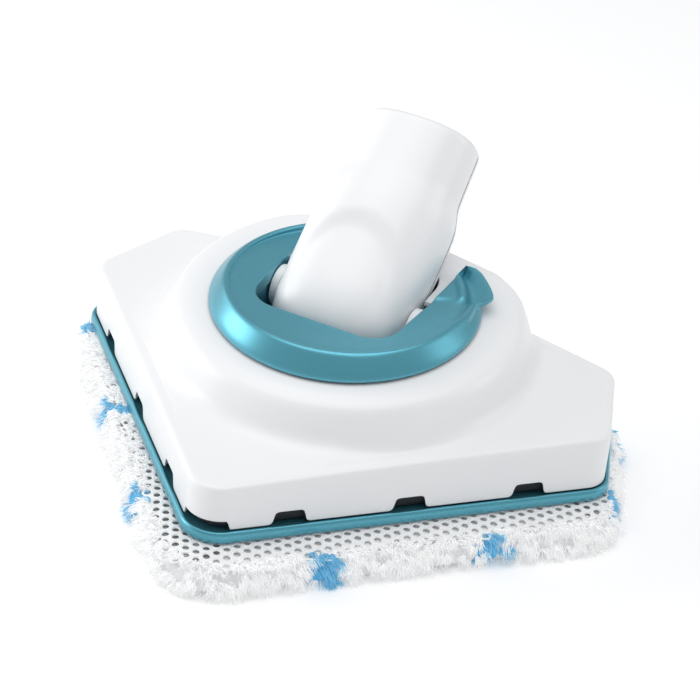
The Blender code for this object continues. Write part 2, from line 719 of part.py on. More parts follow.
def trunnions():
    """The white discs at the neck's sides, each on a hollow shaft that turns in the cradle."""
    for name, side in (("left", -1), ("right", 1)):
        end, face, back, foot = 12.2 * MM, 5 * MM, 0.7 * MM, -6 * MM
        profile = [(JOURNAL_R, end), (JOURNAL_R, face), (BOSS_R - MM, face), (BOSS_R, face - MM),
                   (BOSS_R, back), (SHAFT_R, back), (SHAFT_R, foot), (TRUNNION_BORE_R, foot),
                   (TRUNNION_BORE_R, end)]
        boss = turned("trunnion_" + name, profile, WHITE, neck, sides=20)
        boss.location = (side * NECK_HALF, 0, 0)
        boss.rotation_euler = (0, side * pi / 2, 0)


def neck_tube():
    """Steam tube from the nipple in the socket down to the left trunnion, and the nipple's seal."""
    route = ((0, 0, 80), (0, 0, 60), (0, 0, 36), (-2, 0, 18), (-9, 0, 5), (-18, 0, 0.6), (-27.5, 0, 0))
    route = [Vector(point) * MM for point in route]
    pipe("neck_steam_tube", route, TUBE_R, TUBE_BORE_WALL, STEEL, neck, points=16)
    bpy.ops.mesh.primitive_torus_add(major_radius=5.3 * MM, minor_radius=0.9 * MM, major_segments=16,
                                     minor_segments=6)
    seal = bpy.context.object
    seal.name = "nipple_seal"
    seal.data.materials.append(SILICONE)
    for home in list(seal.users_collection):
        home.objects.unlink(seal)
    PARTS.objects.link(seal)
    seal.parent = neck
    seal.location = (0, 0, 76 * MM)


neck_shells()
socket_liner()
trunnions()
neck_tube()
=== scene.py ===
"""Looks of a steam mop's floor head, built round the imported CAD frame.

Metres, in the CAD model's own frame: the floor at z = 0, the head's tip towards -Y. The white
mouldings, the teal ring and trim, and the pad are made again here as fine meshes. The pieces
inside stay as CAD made them.
"""

import json
from math import asin, cos, pi, radians, sin, tan

import bmesh
import bpy
import numpy as np
from mathutils import Matrix, Vector, noise


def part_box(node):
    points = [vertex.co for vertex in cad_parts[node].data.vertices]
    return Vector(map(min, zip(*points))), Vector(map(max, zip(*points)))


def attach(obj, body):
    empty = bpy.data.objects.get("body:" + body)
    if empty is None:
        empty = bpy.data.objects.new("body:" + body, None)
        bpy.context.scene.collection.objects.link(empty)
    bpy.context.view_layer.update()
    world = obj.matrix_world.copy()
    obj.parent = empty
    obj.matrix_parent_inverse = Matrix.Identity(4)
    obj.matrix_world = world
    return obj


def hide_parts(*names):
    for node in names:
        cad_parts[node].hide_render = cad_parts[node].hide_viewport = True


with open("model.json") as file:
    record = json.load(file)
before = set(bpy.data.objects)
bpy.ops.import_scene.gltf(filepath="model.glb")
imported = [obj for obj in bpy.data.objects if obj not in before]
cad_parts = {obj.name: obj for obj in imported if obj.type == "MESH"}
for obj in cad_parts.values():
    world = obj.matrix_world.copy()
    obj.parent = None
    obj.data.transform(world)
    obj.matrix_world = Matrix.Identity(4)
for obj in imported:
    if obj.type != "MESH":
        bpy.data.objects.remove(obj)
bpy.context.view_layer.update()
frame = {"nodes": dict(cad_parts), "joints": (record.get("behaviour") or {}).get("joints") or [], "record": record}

MM = 0.001
RANDOM = np.random.default_rng(11)

# ---------------------------------------------------------------- places from the frame
joints = {joint["name"]: joint for joint in frame["joints"]}
swivel, tilt = joints["turret_swivel"], joints["neck_tilt"]
TURRET_TILT = -asin(swivel["axis"][1])
TURRET = Matrix.Translation(swivel["pos_m"]) @ Matrix.Rotation(TURRET_TILT, 4, "X")
NECK = Matrix.Translation(tilt["pos_m"]) @ Matrix.Rotation(-radians(tilt["range_deg"][1]), 4, "X")
TURRET_HEIGHT = swivel["pos_m"][2]
TRIM_LOW, TRIM_HIGH = (corner.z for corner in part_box("base_trim"))
COVER_LOW = TRIM_HIGH + 0.3 * MM
MESH_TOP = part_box("pad_mesh")[1].z

# ---------------------------------------------------------------- the head's plan, as in the CAD
# Outward normal of each right-hand edge, as an angle from +X, and its distance from the origin.
HEAD_EDGES = ((-45.0, 104.4 * MM), (19.9, 141.5 * MM), (80.1, 79.5 * MM))
# Corner radii from the tip round to the rear, and how far each of the pad's edges lies outside.
HEAD_ROUNDS = (19 * MM, 16 * MM, 14 * MM, 60 * MM)
PAD_REACH = (19 * MM, 6.5 * MM, 11.5 * MM)
PAD_ROUNDS = (34 * MM, 26 * MM, 24 * MM, 60 * MM)
# Steps round each corner and along each straight, for the right-hand side.
ARC_STEPS = (28, 18, 16, 10)
SPAN_STEPS = (360, 26, 70)

# The cover's top: its height at the origin, its rise towards the rear and its fall to the sides.
CREASE_HEIGHT, CREASE_SLOPE, CREASE_FALL = 53.6 * MM, tan(radians(3.3)), 3 * MM / (140 * MM) ** 2
DOME_CENTRE = np.array((0, 5 * MM))
DOME_R = 88 * MM
COVER_WALL = 2.4 * MM
# Middles of the openings on each front side, as distances from the centre line.
NOTCH_X = (34.5 * MM, 76.8 * MM, 120 * MM)
# Distance from a notch's middle and height of its edge there, down to its foot.
NOTCH_EDGE = np.array(((5.4, 6.9), (6.6, 6.7), (7.5, 5.9), (8.0, 4.4), (8.4, 2.2), (9.0, 0.7),
                       (10.4, 0))) * MM
# The opening round the tip: its height, and how far from the middle its ends begin and stop.
TIP_NOTCH, TIP_HALF, TIP_END = 4.8 * MM, 11.2 * MM, 12.6 * MM


def crossing(first, second, inset):
    """Where two of the plan's edges meet once both have moved in."""
    (a, p), (b, q) = first, second
    p, q = p - inset, q - inset
    return np.array((p * sin(b) - q * sin(a), q * cos(a) - p * cos(b))) / sin(b - a)


def plan(inset, reach=(0, 0, 0), rounds=HEAD_ROUNDS):
    """The head's outline, moved in by inset: points in the same order whatever the inset."""
    right = [(radians(angle), distance + more) for (angle, distance), more in zip(HEAD_EDGES, reach)]
    edges = right + [(pi - angle, distance) for angle, distance in reversed(right)]
    order = (0, 1, 2, 3, 2, 1)
    arcs = []
    for i, corner in enumerate(order):
        before, after = edges[i - 1], edges[i]
        radius = max(rounds[corner] - inset, 0.5 * MM)
        turn = (after[0] - before[0]) % (2 * pi)
        angles = before[0] + turn * np.linspace(0, 1, ARC_STEPS[corner] + 1)
        arcs.append(crossing(before, after, inset + radius)
                    + radius * np.stack((np.cos(angles), np.sin(angles)), 1))
    ring = []
    for arc, following, span in zip(arcs, arcs[1:] + arcs[:1], (0, 1, 2, 2, 1, 0)):
        share = np.linspace(0, 1, SPAN_STEPS[span] + 1)[1:-1, None]
        ring += [arc, arc[-1] * (1 - share) + following[0] * share]
    return np.concatenate(ring)


def raised(ring, height):
    """Plan points with their heights, which are a number or a function of x and y."""
    z = height(ring[:, 0], ring[:, 1]) if callable(height) else np.full(len(ring), height)
    return np.column_stack((ring, z))


def crease(rise):
    """Heights of the cover's gently sloping top, moved up by rise."""
    return lambda x, y: CREASE_HEIGHT + CREASE_SLOPE * y - CREASE_FALL * x * x + rise


def turret_plane(rise):
    """Heights of the plane the turret turns in, moved up by rise."""
    return lambda x, y: TURRET_HEIGHT + tan(TURRET_TILT) * y + rise


def smooth_step(low, high, value):
    share = np.clip((value - low) / (high - low), 0, 1)
    return share * share * (3 - 2 * share)


# ---------------------------------------------------------------- mesh helpers
def spline(rows, steps=6, loop=False):
    """A quadratic B-spline down each column of control points."""
    rows = np.asarray(rows, float)
    if loop:
        rows = np.concatenate((rows[-1:], rows, rows[:1]))
    share = np.linspace(0, 1, steps, endpoint=False).reshape((-1,) + (1,) * (rows.ndim - 1))
    found = [] if loop else [rows[:1]]
    for a, b, c in zip(rows, rows[1:], rows[2:]):
        start, end = (a + b) / 2, (b + c) / 2
        found.append(start * (1 - share) ** 2 + 2 * b * share * (1 - share) + end * share ** 2)
    if not loop:
        found.append(np.stack(((rows[-2] + rows[-1]) / 2, rows[-1])))
    return np.concatenate(found)


def mesh_of(name, points, faces, sharp=35):
    data = bpy.data.meshes.new(name)
    data.from_pydata(np.asarray(points).tolist(), [], faces)
    shape = bmesh.new()
    shape.from_mesh(data)
    bmesh.ops.remove_doubles(shape, verts=shape.verts, dist=0.002 * MM)
    bmesh.ops.dissolve_degenerate(shape, edges=shape.edges, dist=0.001 * MM)
    bmesh.ops.recalc_face_normals(shape, faces=shape.faces)
    shape.to_mesh(data)
    shape.free()
    data.shade_smooth()
    data.set_sharp_from_angle(angle=radians(sharp))
    return data


def grid(name, rows, wrap=True, loop=False, caps=False, sharp=35):
    """Quads through rows of points. wrap joins a row's ends, loop joins the last row to the first."""
    rows = np.asarray(rows)
    count, width = rows.shape[:2]
    index = np.arange(count * width).reshape(count, width)
    if loop:
        index = np.concatenate((index, index[:1]))
    if wrap:
        index = np.concatenate((index, index[:, :1]), axis=1)
    quads = np.stack((index[:-1, :-1], index[:-1, 1:], index[1:, 1:], index[1:, :-1]), -1)
    faces = quads.reshape(-1, 4).tolist()
    if caps:
        faces += [list(range(width))[::-1], list(range((count - 1) * width, count * width))]
    return mesh_of(name, rows.reshape(-1, 3), faces, sharp)


def lathe(name, profile, turns=64, loop=True):
    """A (radius, height) profile turned about local Z."""
    angles = np.linspace(0, 2 * pi, turns, endpoint=False)
    rows = [np.column_stack((r * np.cos(angles), r * np.sin(angles), np.full(turns, z))) for r, z in profile]
    return grid(name, rows, loop=loop)


def piece(name, data, material, body, replaced=(), place=None):
    """An object that rides on a body, takes a material and hides the CAD nodes it stands for."""
    made = bpy.data.objects.new(name, data)
    bpy.context.scene.collection.objects.link(made)
    data.materials.append(material)
    if place:
        data.transform(place)
    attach(made, body)
    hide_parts(*replaced)
    return made


# ---------------------------------------------------------------- materials
def shader_of(name, colour, roughness, metallic=0.0):
    made = bpy.data.materials.new(name)
    made.use_nodes = True
    nodes, links = made.node_tree.nodes, made.node_tree.links
    shader = nodes["Principled BSDF"]
    shader.inputs["Base Color"].default_value = (*colour, 1)
    shader.inputs["Roughness"].default_value = roughness
    shader.inputs["Metallic"].default_value = metallic
    place = nodes.new("ShaderNodeTexCoord").outputs["Object"]
    return made, nodes, links, shader, place


def noise_of(nodes, links, place, scale, detail=2.0, stretch=(1, 1, 1)):
    mapping = nodes.new("ShaderNodeMapping")
    mapping.inputs["Scale"].default_value = stretch
    links.new(place, mapping.inputs["Vector"])
    texture = nodes.new("ShaderNodeTexNoise")
    texture.inputs["Scale"].default_value = scale
    texture.inputs["Detail"].default_value = detail
    links.new(mapping.outputs[0], texture.inputs["Vector"])
    return texture.outputs["Fac"]


def ramp_of(nodes, links, value, low, high, out_low, out_high):
    ramp = nodes.new("ShaderNodeMapRange")
    for socket, number in zip(("From Min", "From Max", "To Min", "To Max"), (low, high, out_low, out_high)):
        ramp.inputs[socket].default_value = number
    links.new(value, ramp.inputs["Value"])
    return ramp.outputs[0]


def blend_of(nodes, links, share, first, second):
    mix = nodes.new("ShaderNodeMix")
    mix.data_type = "RGBA"
    links.new(share, mix.inputs["Factor"])
    for socket, colour in ((mix.inputs[6], first), (mix.inputs[7], second)):
        if isinstance(colour, tuple):
            socket.default_value = (*colour, 1)
        else:
            links.new(colour, socket)
    return mix.outputs[2]


def bump_of(nodes, links, shader, height, depth, strength=0.4):
    bump = nodes.new("ShaderNodeBump")
    bump.inputs["Strength"].default_value = strength
    bump.inputs["Distance"].default_value = depth
    links.new(height, bump.inputs["Height"])
    links.new(bump.outputs[0], shader.inputs["Normal"])


def plastic(name, colour, roughness, shade=0.94, grain=900, depth=0.02 * MM, coat=0.0, metallic=0.0):
    """A moulding: slight cloudiness, roughness that drifts, and a fine grain or flow texture."""
    made, nodes, links, shader, place = shader_of(name, colour, roughness, metallic)
    cloud = noise_of(nodes, links, place, 22, 3)
    darker = tuple(channel * shade for channel in colour)
    links.new(blend_of(nodes, links, ramp_of(nodes, links, cloud, 0.1, 0.9, 0, 1), darker, colour),
              shader.inputs["Base Color"])
    drift = noise_of(nodes, links, place, 45, 2)
    links.new(ramp_of(nodes, links, drift, 0.1, 0.9, roughness * 0.9, roughness * 1.1),
              shader.inputs["Roughness"])
    bump_of(nodes, links, shader, noise_of(nodes, links, place, grain, 1), depth)
    shader.inputs["Coat Weight"].default_value = coat
    shader.inputs["Coat Roughness"].default_value = 0.08
    return made


def pearl(name, colour, roughness):
    """Teal plastic with a metallic fleck."""
    made, nodes, links, shader, place = shader_of(name, colour, roughness, 0.72)
    fleck = ramp_of(nodes, links, noise_of(nodes, links, place, 2600, 0), 0.3, 0.75, 0, 1)
    cloud = ramp_of(nodes, links, noise_of(nodes, links, place, 30, 2), 0.3, 0.7, 0, 1)
    dark = tuple(channel * 0.86 for channel in colour)
    bright = tuple(min(1, channel * 1.18) for channel in colour)
    base = blend_of(nodes, links, fleck, dark, bright)
    links.new(blend_of(nodes, links, cloud, colour, base), shader.inputs["Base Color"])
    links.new(ramp_of(nodes, links, fleck, 0, 1, roughness * 1.08, roughness * 0.9),
              shader.inputs["Roughness"])
    bump_of(nodes, links, shader, noise_of(nodes, links, place, 1800, 1), 0.01 * MM, 0.25)
    shader.inputs["Coat Weight"].default_value = 0.45
    shader.inputs["Coat Roughness"].default_value = 0.32
    return made


def metal(name, colour, roughness, stretch):
    """Metal with fine drawn or turned lines."""
    made, nodes, links, shader, place = shader_of(name, colour, roughness, 1.0)
    lines = noise_of(nodes, links, place, 300, 3, stretch)
    darker = tuple(channel * 0.8 for channel in colour)
    links.new(blend_of(nodes, links, lines, darker, colour), shader.inputs["Base Color"])
    links.new(ramp_of(nodes, links, lines, 0.3, 0.7, roughness * 0.8, roughness * 1.3),
              shader.inputs["Roughness"])
    bump_of(nodes, links, shader, lines, 0.02 * MM)
    return made


def cloth(name, colour, shade, scale, depth, sheen=0.4, painted_glow=0.0):
    """Fibres: colour that varies from tuft to tuft, a soft sheen, and a faint glow that is painted light."""
    made, nodes, links, shader, place = shader_of(name, colour, 0.95)
    tuft = noise_of(nodes, links, place, scale, 3)
    darker = tuple(channel * shade for channel in colour)
    links.new(blend_of(nodes, links, ramp_of(nodes, links, tuft, 0.3, 0.7, 0, 1), darker, colour),
              shader.inputs["Base Color"])
    bump_of(nodes, links, shader, noise_of(nodes, links, place, scale * 3, 3), depth, 0.6)
    shader.inputs["Sheen Weight"].default_value = sheen
    shader.inputs["Sheen Roughness"].default_value = 0.5
    # Painted light: the fibres glow a little, which lifts the shade among them.
    shader.inputs["Emission Color"].default_value = (*colour, 1)
    shader.inputs["Emission Strength"].default_value = painted_glow
    return made


def striped(name, white, blue):
    """The pile's own ground: white with the pad's blue stripes, which run across it."""
    made, nodes, links, shader, place = shader_of(name, white, 1.0)
    split = nodes.new("ShaderNodeSeparateXYZ")
    links.new(place, split.inputs[0])
    shift = nodes.new("ShaderNodeMath")
    shift.inputs[1].default_value = -STRIPE_FIRST
    links.new(split.outputs["Y"], shift.inputs[0])
    fold = nodes.new("ShaderNodeMath")
    fold.operation = "PINGPONG"
    fold.inputs[1].default_value = STRIPE_PITCH / 2
    links.new(shift.outputs[0], fold.inputs[0])
    stripe = ramp_of(nodes, links, fold.outputs[0], STRIPE_HALF, STRIPE_HALF * 1.15, 0, 1)
    # The stripes stay off the flat top, under the net.
    top = ramp_of(nodes, links, split.outputs["Z"], 11.5 * MM, 12.5 * MM, 0, 1)
    either = nodes.new("ShaderNodeMath")
    either.operation = "MAXIMUM"
    links.new(stripe, either.inputs[0])
    links.new(top, either.inputs[1])
    tuft = noise_of(nodes, links, place, 260, 3)
    pale = blend_of(nodes, links, tuft, tuple(channel * 0.82 for channel in white), white)
    links.new(blend_of(nodes, links, either.outputs[0], blue, pale), shader.inputs["Base Color"])
    bump_of(nodes, links, shader, noise_of(nodes, links, place, 700, 3), 0.4 * MM, 0.7)
    return made


STRIPE_FIRST, STRIPE_PITCH, STRIPE_HALF = -117 * MM, 58 * MM, 3.8 * MM
WHITE = plastic("gloss_white", (0.885, 0.89, 0.9), 0.3, 0.985, 500, 0.002 * MM)
TEAL = pearl("satin_teal", (0.095, 0.385, 0.485), 0.34)
BLACK = plastic("black_plastic", (0.02, 0.02, 0.022), 0.5, 0.7, 1400, 0.05 * MM)
GREY = plastic("grey_plastic", (0.16, 0.17, 0.18), 0.45, 0.85, 1200, 0.04 * MM)
ACETAL = plastic("acetal", (0.78, 0.77, 0.72), 0.4, 0.93)
SILICONE = plastic("silicone", (0.62, 0.20, 0.12), 0.6, 0.85, 700, 0.03 * MM)
STEEL = metal("steel", (0.6, 0.61, 0.63), 0.28, (1, 1, 14))
BRASS = metal("brass", (0.76, 0.58, 0.26), 0.3, (1, 1, 20))
HOOKS = cloth("hook_tape", (0.75, 0.76, 0.78), 0.7, 1500, 0.4 * MM, 0.1)
# The net, the pile and the stripe tufts glow faintly: painted light that lifts the shade among their fibres.
NET = cloth("pad_mesh", (0.93, 0.935, 0.94), 0.9, 900, 0.08 * MM, 0.2, 0.05)
# A dark grey sheet under the net: painted shade for the grey seen down its holes.
HOLE_SHADE = cloth("pad_hole_shade", (0.4, 0.41, 0.415), 0.8, 700, 0.2 * MM, 0.1)
PILE = cloth("pad_pile", (0.975, 0.978, 0.98), 0.97, 160, 0.1 * MM, 0.3, 0.2)
BLUE = cloth("pad_stripe", (0.2, 0.58, 0.84), 0.85, 220, 0.1 * MM, 0.3, 0.2)
GROUND = striped("pile_ground", (0.95, 0.955, 0.96), (0.14, 0.50, 0.82))

CAD_LOOKS = {
    "satin_teal": TEAL, "black_plastic": BLACK, "grey_plastic": GREY, "acetal": ACETAL,
    "silicone": SILICONE, "steel": STEEL, "brass": BRASS, "hook_tape": HOOKS, "gloss_white": WHITE,
    "pad_mesh": NET, "pad_pile": PILE,
}
for part in frame["record"]["subparts"]:
    node = frame["nodes"][part["node"]]
    node.data.materials.clear()
    node.data.materials.append(CAD_LOOKS[part["material_slot"]])


# ---------------------------------------------------------------- head
def cover_plan(inset, rear_inset, radius=None):
    """The plan moved in, and no further than radius from the dome's centre.

    Where the rear wall cuts the dome off, the plan moves in by rear_inset instead.
    """
    side, rear = plan(inset), plan(rear_inset)
    reach = np.linalg.norm(rear - DOME_CENTRE, axis=1)
    share = 1 - smooth_step(DOME_R - 7 * MM, DOME_R + 7 * MM, reach)
    share = np.where(rear[:, 1] > 0, share, 0)[:, None]
    arm = side * (1 - share) + rear * share - DOME_CENTRE
    length = np.linalg.norm(arm, axis=1, keepdims=True)
    return DOME_CENTRE + (arm if radius is None else arm * np.minimum(1, radius / length))


def lip(radius):
    """A circle about the turret's axis, spaced as the plan's points are."""
    arm = plan(0)
    return radius * arm / np.linalg.norm(arm, axis=1, keepdims=True)


def notch_heights(foot):
    """How far the cover's lower edge is cut away, at each of its points."""
    angle, distance = radians(HEAD_EDGES[0][0]), HEAD_EDGES[0][1]
    rise = np.zeros(len(foot))
    for side in (1, -1):
        for x in NOTCH_X:
            centre = np.array((side * x, (distance - x * cos(angle)) / sin(angle)))
            away = np.linalg.norm(foot - centre, axis=1)
            rise = np.maximum(rise, np.interp(away, *zip(*NOTCH_EDGE)))
    tip = (1 - smooth_step(TIP_HALF, TIP_END, np.abs(foot[:, 0]))) * (foot[:, 1] < -100 * MM)
    return np.maximum(rise, TIP_NOTCH * tip)


def cover_profile():
    """Rows of points up the cover's walls, over its top and dome, and in to the turret's opening."""
    return spline([
        raised(cover_plan(2.4 * MM, 2.4 * MM), COVER_LOW + 0.5 * MM),
        raised(cover_plan(2.4 * MM, 2.4 * MM), COVER_LOW + 5 * MM),
        raised(cover_plan(2.5 * MM, 2.6 * MM), COVER_LOW + 14 * MM),
        raised(cover_plan(2.6 * MM, 2.8 * MM), crease(-6.0 * MM)),
        raised(cover_plan(2.7 * MM, 3.0 * MM), crease(0.2 * MM)),
        raised(cover_plan(8.6 * MM, 3.3 * MM), crease(0.3 * MM)),
        raised(cover_plan(9.2 * MM, 3.6 * MM, DOME_R + 19 * MM), crease(0.6 * MM)),
        raised(cover_plan(9.4 * MM, 3.8 * MM, DOME_R + 7.5 * MM), crease(2.4 * MM)),
        raised(cover_plan(9.8 * MM, 4.1 * MM, DOME_R + 2.6 * MM), turret_plane(-10 * MM)),
        raised(cover_plan(10.2 * MM, 4.5 * MM, DOME_R - 1.0 * MM), turret_plane(-3.2 * MM)),
        raised(cover_plan(13 * MM, 6.2 * MM, DOME_R - 8 * MM), turret_plane(-1.0 * MM)),
        raised(lip(71 * MM), turret_plane(-0.5 * MM)),
        raised(lip(60.6 * MM), turret_plane(-0.5 * MM)),
        raised(lip(60 * MM), turret_plane(-1.0 * MM)),
    ], steps=6)


def upper_cover():
    rows = cover_profile()
    rise = notch_heights(rows[0, :, :2])
    low = COVER_LOW + rise
    # Round the notches the wall's rows close up towards a line above them.
    above = COVER_LOW + 14 * MM
    squeeze = (above - low - 0.5 * MM) / (above - COVER_LOW - 0.5 * MM)
    rows[:, :, 2] = np.where(rows[:, :, 2] < above, above - (above - rows[:, :, 2]) * squeeze, rows[:, :, 2])
    edge = rows[0].copy()
    edge[:, :2] = plan(2.8 * MM)
    edge[:, 2] = low
    rows = np.concatenate((edge[None], rows))
    cover = piece("upper_cover_moulding", grid("upper_cover_moulding", rows), WHITE, "head",
                  ["upper_cover"])
    wall = cover.modifiers.new("wall", "SOLIDIFY")
    wall.thickness = COVER_WALL
    wall.offset = -1


def base_trim():
    low, high = TRIM_LOW, TRIM_HIGH
    section = ((8.2 * MM, low), (2 * MM, low), (0.3 * MM, low + 0.1 * MM), (-0.5 * MM, low + 1.6 * MM),
               (-0.3 * MM, high - 1.6 * MM), (0.5 * MM, high), (1.6 * MM, high + 0.2 * MM),
               (2.0 * MM, high - 0.1 * MM), (2.2 * MM, high - 0.8 * MM), (4.5 * MM, high - 0.9 * MM),
               (8.2 * MM, high - 0.9 * MM))
    rows = spline([raised(plan(inset), z) for inset, z in section], steps=5)
    data = grid("base_trim_band", rows, loop=True)
    piece("base_trim_band", data, TEAL, "head", ["base_trim"])


upper_cover()
base_trim()

# ---------------------------------------------------------------- swivel ring
SLOT_SIDE, SLOT_SPREAD = 39.9 * MM, 0.05
SLOT_FRONT, SLOT_ROUND = -34 * MM, 15.5 * MM
RING_BASE, RING_DROP = 1.2 * MM, 0.38
# The hooked tab's outer edge: angles from the rear and distances from the swivel's axis.
TAB_EDGE = ((40.6, 66.2), (41.6, 68.2), (43, 69.7), (47, 71.2), (53, 72.0), (58, 72.9), (62, 73.5),
            (65.2, 73.5), (66.8, 72.6), (68.4, 70.2), (70.4, 68.5), (73, 68))
# Radius and height of the ring's section, from the inside under and round to the inside above.
RING_SECTION = ((30, 1.8), (50, 1.8), (52, 4.1), (61, 4.1), (62.5, 0.9), (66.6, 0.7), (68.1, 0.7),
                (68.3, 1.7), (67.6, 3.4), (66.3, 5.6), (64.5, 8.1), (62.6, 10.6), (60.9, 12.5),
                (59.4, 12.9), (58.3, 12.3), (57.3, 11.4), (56.2, 11.2), (55.0, 11.1), (53.5, 11.0),
                (50, 10.7), (42, 10.1), (30, 9.9))
# The same points where the tab is. Those below 2 are shares of its reach past the crease.
TAB_SECTION = ((30, 1.8), (50, 1.8), (52, 4.1), (61, 4.1), (62.5, 0.9), (66.6, 0.7), (67.8, 0.7),
               (67.9, 2.0), (67.0, 3.6), (0.62, 4.4), (0.95, 6.2), (1.0, 8.6), (0.8, 7.8),
               (0.42, 5.2), (0.08, 3.7), (61.0, 5.6), (59.5, 9.0), (57.4, 9.3), (55.6, 7.9),
               (54.2, 7.4), (50, 7.8), (30, 7.8))
CREASE_R = 62.2
# How far from the middle the ledges beside the neck begin, at distances behind the swivel's axis.
LEDGE_Y = np.array((16.5, 30, 34, 39, 44, 49, 53, 56.5, 59, 66)) * MM
LEDGE_X = np.array((35.6, 35.6, 34.9, 32.9, 29.8, 26, 20.5, 12, 0, 0)) * MM


def slot_reach(angles):
    """Distance from the swivel's axis to the ring's slot, at angles from the rear."""
    across, along = np.abs(np.sin(angles)), np.cos(angles)
    side = SLOT_SIDE / np.maximum(across - SLOT_SPREAD * along, 1e-6)
    front = SLOT_FRONT / np.minimum(along, -1e-6)
    corner_y = SLOT_FRONT + SLOT_ROUND
    corner_x = SLOT_SIDE + SLOT_SPREAD * corner_y - SLOT_ROUND
    toward = across * corner_x + along * corner_y
    room = corner_x ** 2 + corner_y ** 2 - SLOT_ROUND ** 2
    rounded = toward + np.sqrt(np.maximum(toward ** 2 - room, 0))
    reach = np.where(side * along > corner_y, side, rounded)
    return np.where((along < 0) & (front * across < corner_x), front, reach)


def ring_section(angle):
    """The section at one angle from the rear: (radius, height) rows in metres."""
    degrees = np.degrees(angle)
    scale = 1 - RING_DROP * (1 + cos(angle)) / 2
    plain = np.array(RING_SECTION) * MM
    plain[2:, 1] = RING_BASE + (plain[2:, 1] - RING_BASE) * scale
    edge = np.interp(degrees, *zip(*TAB_EDGE))
    tab = np.array([(r if r > 2 else CREASE_R + r * (edge - CREASE_R), h) for r, h in TAB_SECTION]) * MM
    # Near the end of each arm the top sinks inside a raised rim.
    sunk = 1 - smooth_step(48, 105, min(degrees, 360 - degrees))
    plain[15:18, 0] += (1.2 * MM, 0.9 * MM, 0.4 * MM)
    plain[14:, 1] -= sunk * np.array((0.2, 1.5, 1.7, 1.9, 1.9, 1.8, 1.7, 1.7)) * MM
    share = 1 - smooth_step(65, 72, degrees)
    mixed = plain * (1 - share) + tab * share
    # The crease inside the tab dies away more slowly than its edge does.
    tail = max(0, 1 - smooth_step(66, 96, degrees) - share)
    mixed[11:17] += (tab[11:17] - plain[11:17]) * 0.45 * tail
    return mixed


def swivel_ring():
    ends = radians(TAB_EDGE[0][0])
    angles = np.linspace(ends, 2 * pi - ends, 561)
    inside = slot_reach(angles)
    sections = spline(np.stack([ring_section(angle) for angle in angles], 1), steps=4)
    radius, height = sections[..., 0], sections[..., 1]
    upper = len(sections) // 3
    # Where the slot cuts the flat top, the top ends at the height it has there.
    for column in np.flatnonzero(inside < 51 * MM):
        reach, level = radius[upper:, column], height[upper:, column]
        flat, edge = reach < 53 * MM, inside[column] + 0.8 * MM
        level[reach < edge] = np.interp(edge, reach[flat][::-1], level[flat][::-1])
    radius[:upper] = np.maximum(radius[:upper], inside)
    radius[upper:] = np.maximum(radius[upper:], inside + 0.8 * MM)
    rolls = [(inside + out * MM, height[-1] - down * MM)
             for out, down in ((0.35, 0.08), (0.1, 0.3), (0, 0.8))]
    radius = np.concatenate((radius, [r for r, z in rolls]))
    height = np.concatenate((height, [z for r, z in rolls]))
    rows = np.stack((radius * np.sin(angles), radius * np.cos(angles), height), -1)
    data = grid("swivel_ring", rows, wrap=False, loop=True, sharp=50)
    piece("swivel_ring", data, TEAL, "turret", ["turret_ring"], TURRET)


def slot_ledges():
    """White strips under the ring's arms, on each side of the neck, that meet behind it."""
    near = np.linspace(16.5 * MM, 66 * MM, 34)
    inside = np.interp(near, LEDGE_Y, LEDGE_X)
    outside = np.minimum(41.3 * MM, np.sqrt((67.2 * MM) ** 2 - near ** 2))
    sunk = smooth_step(33 * MM, 50 * MM, near)
    low, high = 1.4 * MM - 0.5 * MM * sunk, 4.0 * MM - 2.2 * MM * sunk
    for name, side in (("left", -1), ("right", 1)):
        corners = ((inside, low), (outside, low), (outside, high - 0.3 * MM), (outside - 0.3 * MM, high),
                   (inside + 0.5 * MM, high), (inside, high - 0.5 * MM))
        rows = [np.column_stack((side * x, near, h)) for x, h in corners]
        data = grid(f"slot_ledge_{name}", np.stack(rows, 1), caps=True)
        piece(f"slot_ledge_{name}", data, WHITE, "turret", place=TURRET)


swivel_ring()
slot_ledges()

# ---------------------------------------------------------------- neck, in its own frame
NECK_WALL = 2.5 * MM
SEAM_TURN, SEAM_GAP = 0.1, 1.3 * MM
NECK_HALF, NECK_FRONT, NECK_REAR, NECK_DROP = 34.5, 33, 29, 31
# Height up the neck, half width, depth to the front, depth to the rear and squareness.
NECK_LEVELS = ((0, 34.5, 33, 29, 2.7), (12, 34.7, 33, 27.6, 2.7), (30, 35.2, 32.6, 26, 2.5),
               (46, 35.4, 31.8, 25, 2.4), (56, 34.9, 30.4, 24.6, 2.4), (63, 32.7, 28.4, 24, 2.4),
               (68, 31.2, 26.8, 23.4, 2.4), (75, 30.9, 26, 23, 2.4), (94, 30.4, 24.9, 22.4, 2.4),
               (98, 30.2, 24.6, 22.2, 2.4), (99.5, 29.3, 23.7, 21.3, 2.4))
# The thumb scoop: an arch on the front, nearly as wide as the neck.
SCOOP_BASE, SCOOP_HALF, SCOOP_TALL, SCOOP_DEPTH = 5 * MM, 30.5 * MM, 38.5 * MM, 2.9 * MM


def neck_levels():
    """All the neck's levels, in metres, from the rounded foot below its pivot up to the rim."""
    levels = []
    for turn in (86, 72, 56, 40, 20):
        drop, reach = sin(radians(turn)), cos(radians(turn))
        half = NECK_HALF * (1 - 0.3 * drop ** 4)
        levels.append((-NECK_DROP * drop, half, NECK_FRONT * reach, NECK_REAR * reach, 2.8))
    return spline(levels + list(NECK_LEVELS), steps=7) * (MM, MM, MM, MM, 1)


def oval_rows(levels, angles, less=0.0):
    """Squared ovals whose front and rear depths differ."""
    across, along = np.cos(angles), np.sin(angles)
    rows = []
    for height, half, front, rear, square in levels:
        depth = np.where(along > 0, rear, front) - less
        x = (half - less) * np.sign(across) * np.abs(across) ** (2 / square)
        y = depth * np.sign(along) * np.abs(along) ** (2 / square)
        rows.append(np.column_stack((x, y, np.full(len(angles), height))))
    return np.array(rows)


